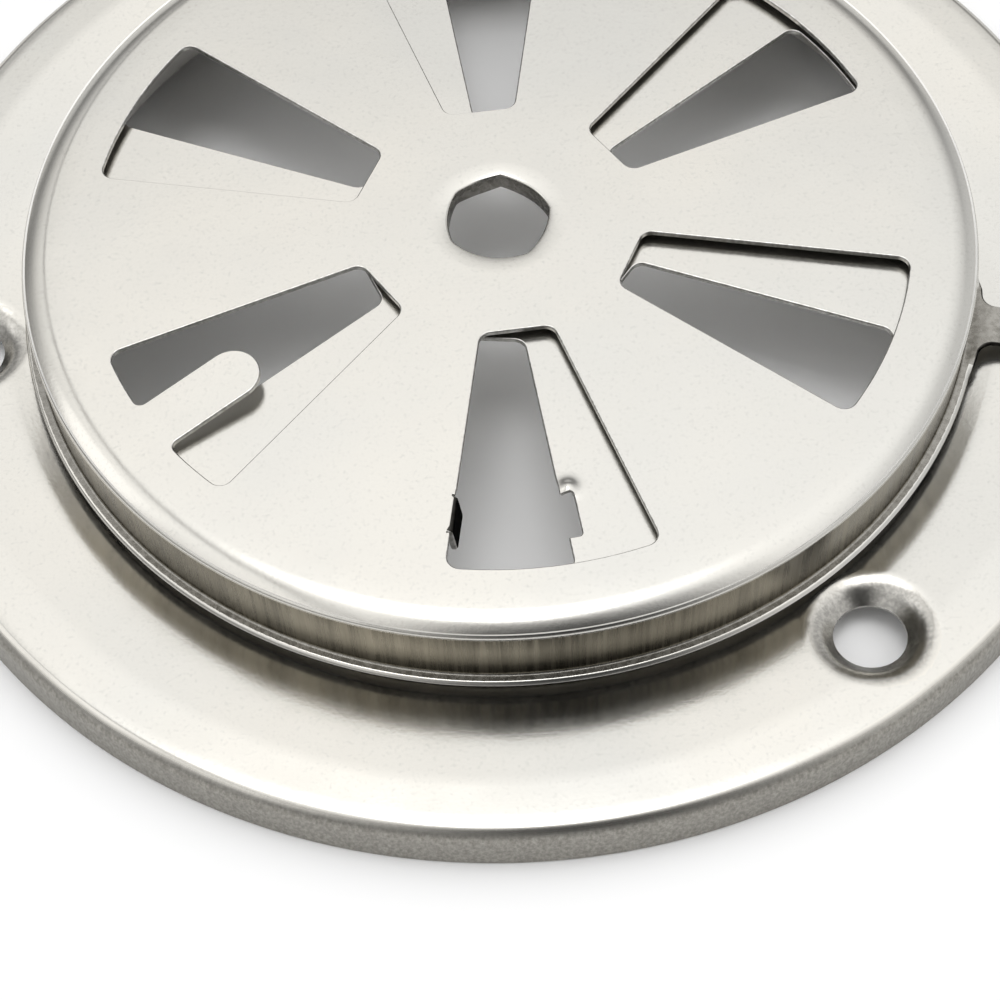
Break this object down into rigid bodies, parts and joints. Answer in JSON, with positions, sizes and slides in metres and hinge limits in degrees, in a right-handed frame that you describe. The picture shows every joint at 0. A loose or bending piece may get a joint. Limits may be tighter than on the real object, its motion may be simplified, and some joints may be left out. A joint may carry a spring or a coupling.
{
  "type": "rotary vent grille",
  "caption": "Round pressed-steel rotary vent: a flanged base with sector openings and a cap with matching openings that turns to open or close it.",
  "frame": {"origin": "centre of the vent on the wall plane that the rim's foot stands on", "axes": "+Z out of the wall along the turning axis, +X and +Y in the wall plane, as the picture is seen: +X right, +Y away from the viewer"},
  "size_m": [0.102, 0.102, 0.0113],
  "materials": {
    "satin_steel": "satin"
  },
  "bodies": {
    "base": {"base": "satin_steel"},
    "cap": {"cap": "satin_steel"}
  },
  "joints": [
    {"name": "cap_turn", "type": "hinge", "parent": "base", "child": "cap", "pos_m": [0, 0, 0.00925], "axis": [0, 0, 1], "range_deg": [-10.4, 18]}
  ]
}
